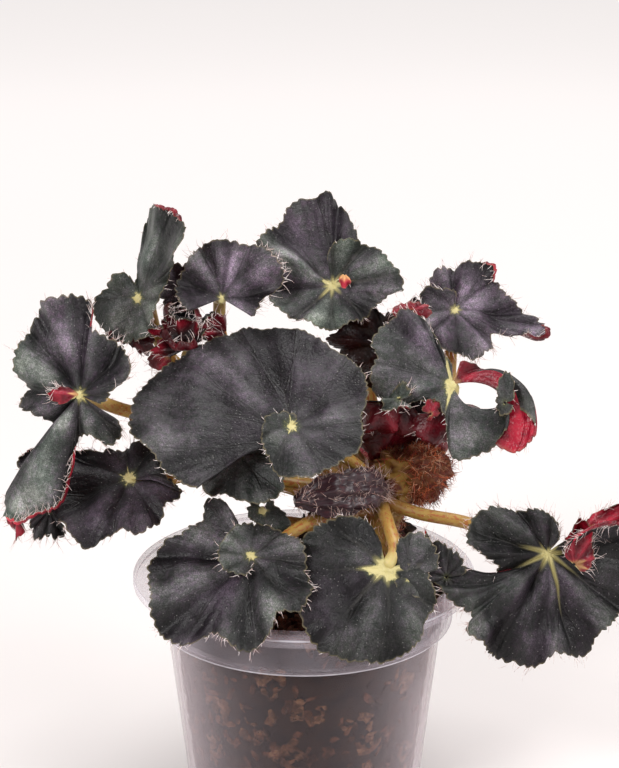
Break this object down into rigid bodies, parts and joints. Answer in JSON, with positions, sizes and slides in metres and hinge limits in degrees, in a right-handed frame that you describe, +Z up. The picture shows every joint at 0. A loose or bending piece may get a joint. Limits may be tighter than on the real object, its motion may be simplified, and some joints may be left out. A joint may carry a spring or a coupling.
{
  "type": "potted begonia",
  "caption": "Begonia with dark velvety spiral leaves, crested margins with red backs and hairy amber stalks, rooted in bark mix in a clear round nursery pot.",
  "frame": {"origin": "centre of the pot's foot, on the level that it rests on", "axes": "+Z up, -Y towards the side that faces the viewer, +X to the viewer's right"},
  "size_m": [0.2146, 0.1479, 0.2102],
  "materials": {
    "pot_plastic": "clear, slightly hazy moulded plastic",
    "bark_mix": "damp coarse bark chips and dark fines",
    "rhizome": "scaly, covered with red-brown hairs",
    "bud": "folded young leaf with pale hairs",
    "leaf": "velvety near-black green with a grey sheen and a cream star at the stalk",
    "leaf_underside": "satin burgundy underside with paler veins",
    "stalk": "amber, fleshy, with red flecks and fine hairs"
  },
  "bodies": {
    "root": {"pot": "pot_plastic", "soil": "bark_mix", "rhizome": "rhizome", "bud": "bud", "blade_centre": "leaf", "stalk_centre": "stalk", "blade_top": "leaf", "stalk_top": "stalk", "blade_plum": "leaf", "stalk_plum": "stalk", "blade_spire": "leaf", "stalk_spire": "stalk", "blade_left": "leaf", "stalk_left": "stalk", "blade_low": "leaf", "stalk_low": "stalk", "blade_front_left": "leaf", "stalk_front_left": "stalk", "blade_front_right": "leaf", "stalk_front_right": "stalk", "blade_right": "leaf", "stalk_right": "stalk", "blade_grey": "leaf", "stalk_grey": "stalk", "blade_upper_right": "leaf", "stalk_upper_right": "stalk", "blade_red": "leaf_underside", "stalk_red": "stalk", "blade_curl": "leaf", "stalk_curl": "stalk", "blade_under": "leaf", "stalk_under": "stalk", "blade_small": "leaf", "stalk_small": "stalk", "blade_behind": "leaf_underside", "stalk_behind": "stalk", "blade_back_left": "leaf", "stalk_back_left": "stalk", "blade_back_right": "leaf", "stalk_back_right": "stalk", "blade_back": "leaf", "stalk_back": "stalk"}
  },
  "joints": []
}
